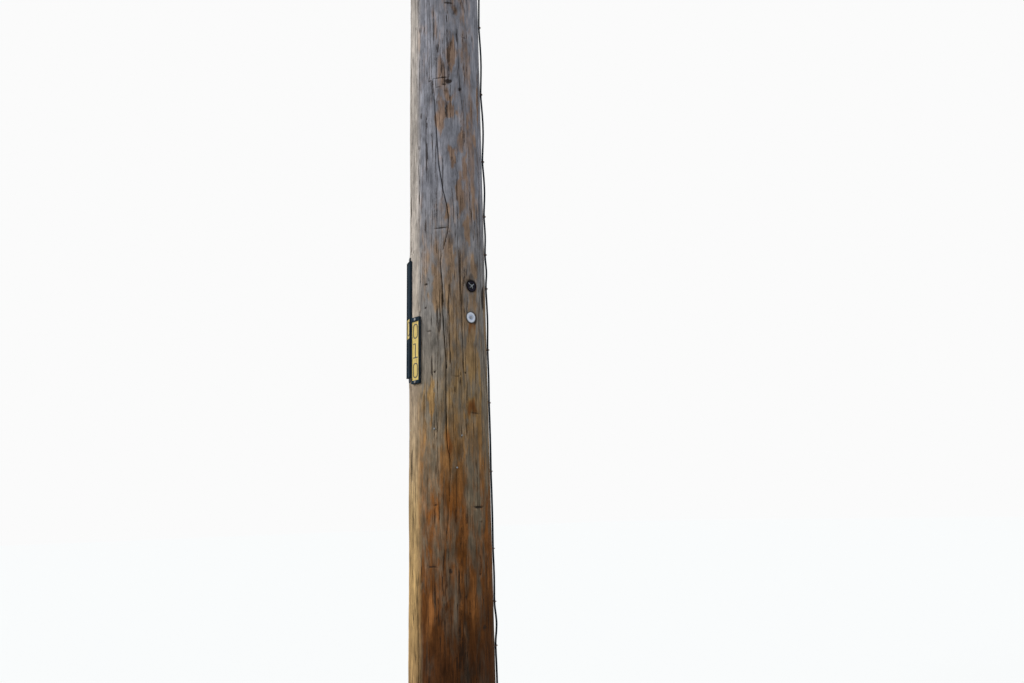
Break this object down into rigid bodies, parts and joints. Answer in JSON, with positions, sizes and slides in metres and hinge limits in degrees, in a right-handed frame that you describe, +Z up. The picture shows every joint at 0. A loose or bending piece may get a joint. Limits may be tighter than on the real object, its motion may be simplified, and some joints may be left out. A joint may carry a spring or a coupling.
{
  "type": "wooden utility pole",
  "caption": "Weathered wooden utility pole from the ground line up, with a stapled ground wire, tag holders, inspection discs and fittings for overhead lines.",
  "frame": {"origin": "centre of the timber's section at the ground line", "axes": "+Z up the pole; X along the line of conductors, with the inspection discs on the +X side; -Y is the street side, where the number tags, insulators, strand clamp and hook are"},
  "size_m": [0.274, 0.3528, 7.7162],
  "materials": {
    "weathered_wood": "weathered southern pine, grey above and orange brown below, long checks and knots",
    "black_wire_cover": "aged black wire covering, dull",
    "dull_galvanised_steel": "hot-dip galvanised, weathered to a dull spangled grey",
    "rusty_steel": "brown rusted staple and nail steel",
    "black_holder_plastic": "moulded black plastic, slightly chalky",
    "yellow_tag_paint": "sun-faded yellow baked paint on thin aluminium",
    "black_figure_paint": "black figure paint, satin",
    "bright_disc_aluminium": "bright stamped aluminium",
    "dark_disc_metal": "blackened disc with scraped pale marks",
    "brown_porcelain": "glossy brown glaze",
    "grey_lead": "dull cast lead thread",
    "bronze_lug": "weathered bronze"
  },
  "bodies": {
    "root": {"pole_shaft": "weathered_wood", "ground_wire": "black_wire_cover", "wire_staples_lower": "rusty_steel", "wire_staples_upper": "rusty_steel", "ground_wire_lug": "bronze_lug", "long_tag_holder": "black_holder_plastic", "long_holder_number_tag": "yellow_tag_paint", "long_holder_blank_tags": "black_holder_plastic", "short_tag_holder": "black_holder_plastic", "number_tag_top": "yellow_tag_paint", "number_tag_middle": "yellow_tag_paint", "number_tag_bottom": "yellow_tag_paint", "tag_digits": "black_figure_paint", "tag_holder_nails": "dull_galvanised_steel", "dark_inspection_disc": "dark_disc_metal", "bright_inspection_disc": "bright_disc_aluminium", "disc_nails": "dull_galvanised_steel", "old_nails": "dull_galvanised_steel", "pole_top_pin": "dull_galvanised_steel", "pin_lead_thread": "grey_lead", "pin_insulator": "brown_porcelain", "pin_bolts": "dull_galvanised_steel", "pin_bolt_washers": "dull_galvanised_steel", "pin_bolt_nuts": "dull_galvanised_steel", "neutral_clevis": "dull_galvanised_steel", "neutral_spool": "brown_porcelain", "neutral_clevis_pin": "dull_galvanised_steel", "neutral_cotter": "dull_galvanised_steel", "neutral_bolt": "dull_galvanised_steel", "neutral_bolt_washer": "dull_galvanised_steel", "neutral_bolt_nut": "dull_galvanised_steel", "strand_clamp_back_plate": "dull_galvanised_steel", "strand_clamp_front_plate": "dull_galvanised_steel", "strand_clamp_bolts": "dull_galvanised_steel", "strand_clamp_nuts": "dull_galvanised_steel", "strand_through_bolt": "dull_galvanised_steel", "strand_bolt_washer": "dull_galvanised_steel", "strand_bolt_nut": "dull_galvanised_steel", "drop_hook": "dull_galvanised_steel"}
  },
  "joints": []
}
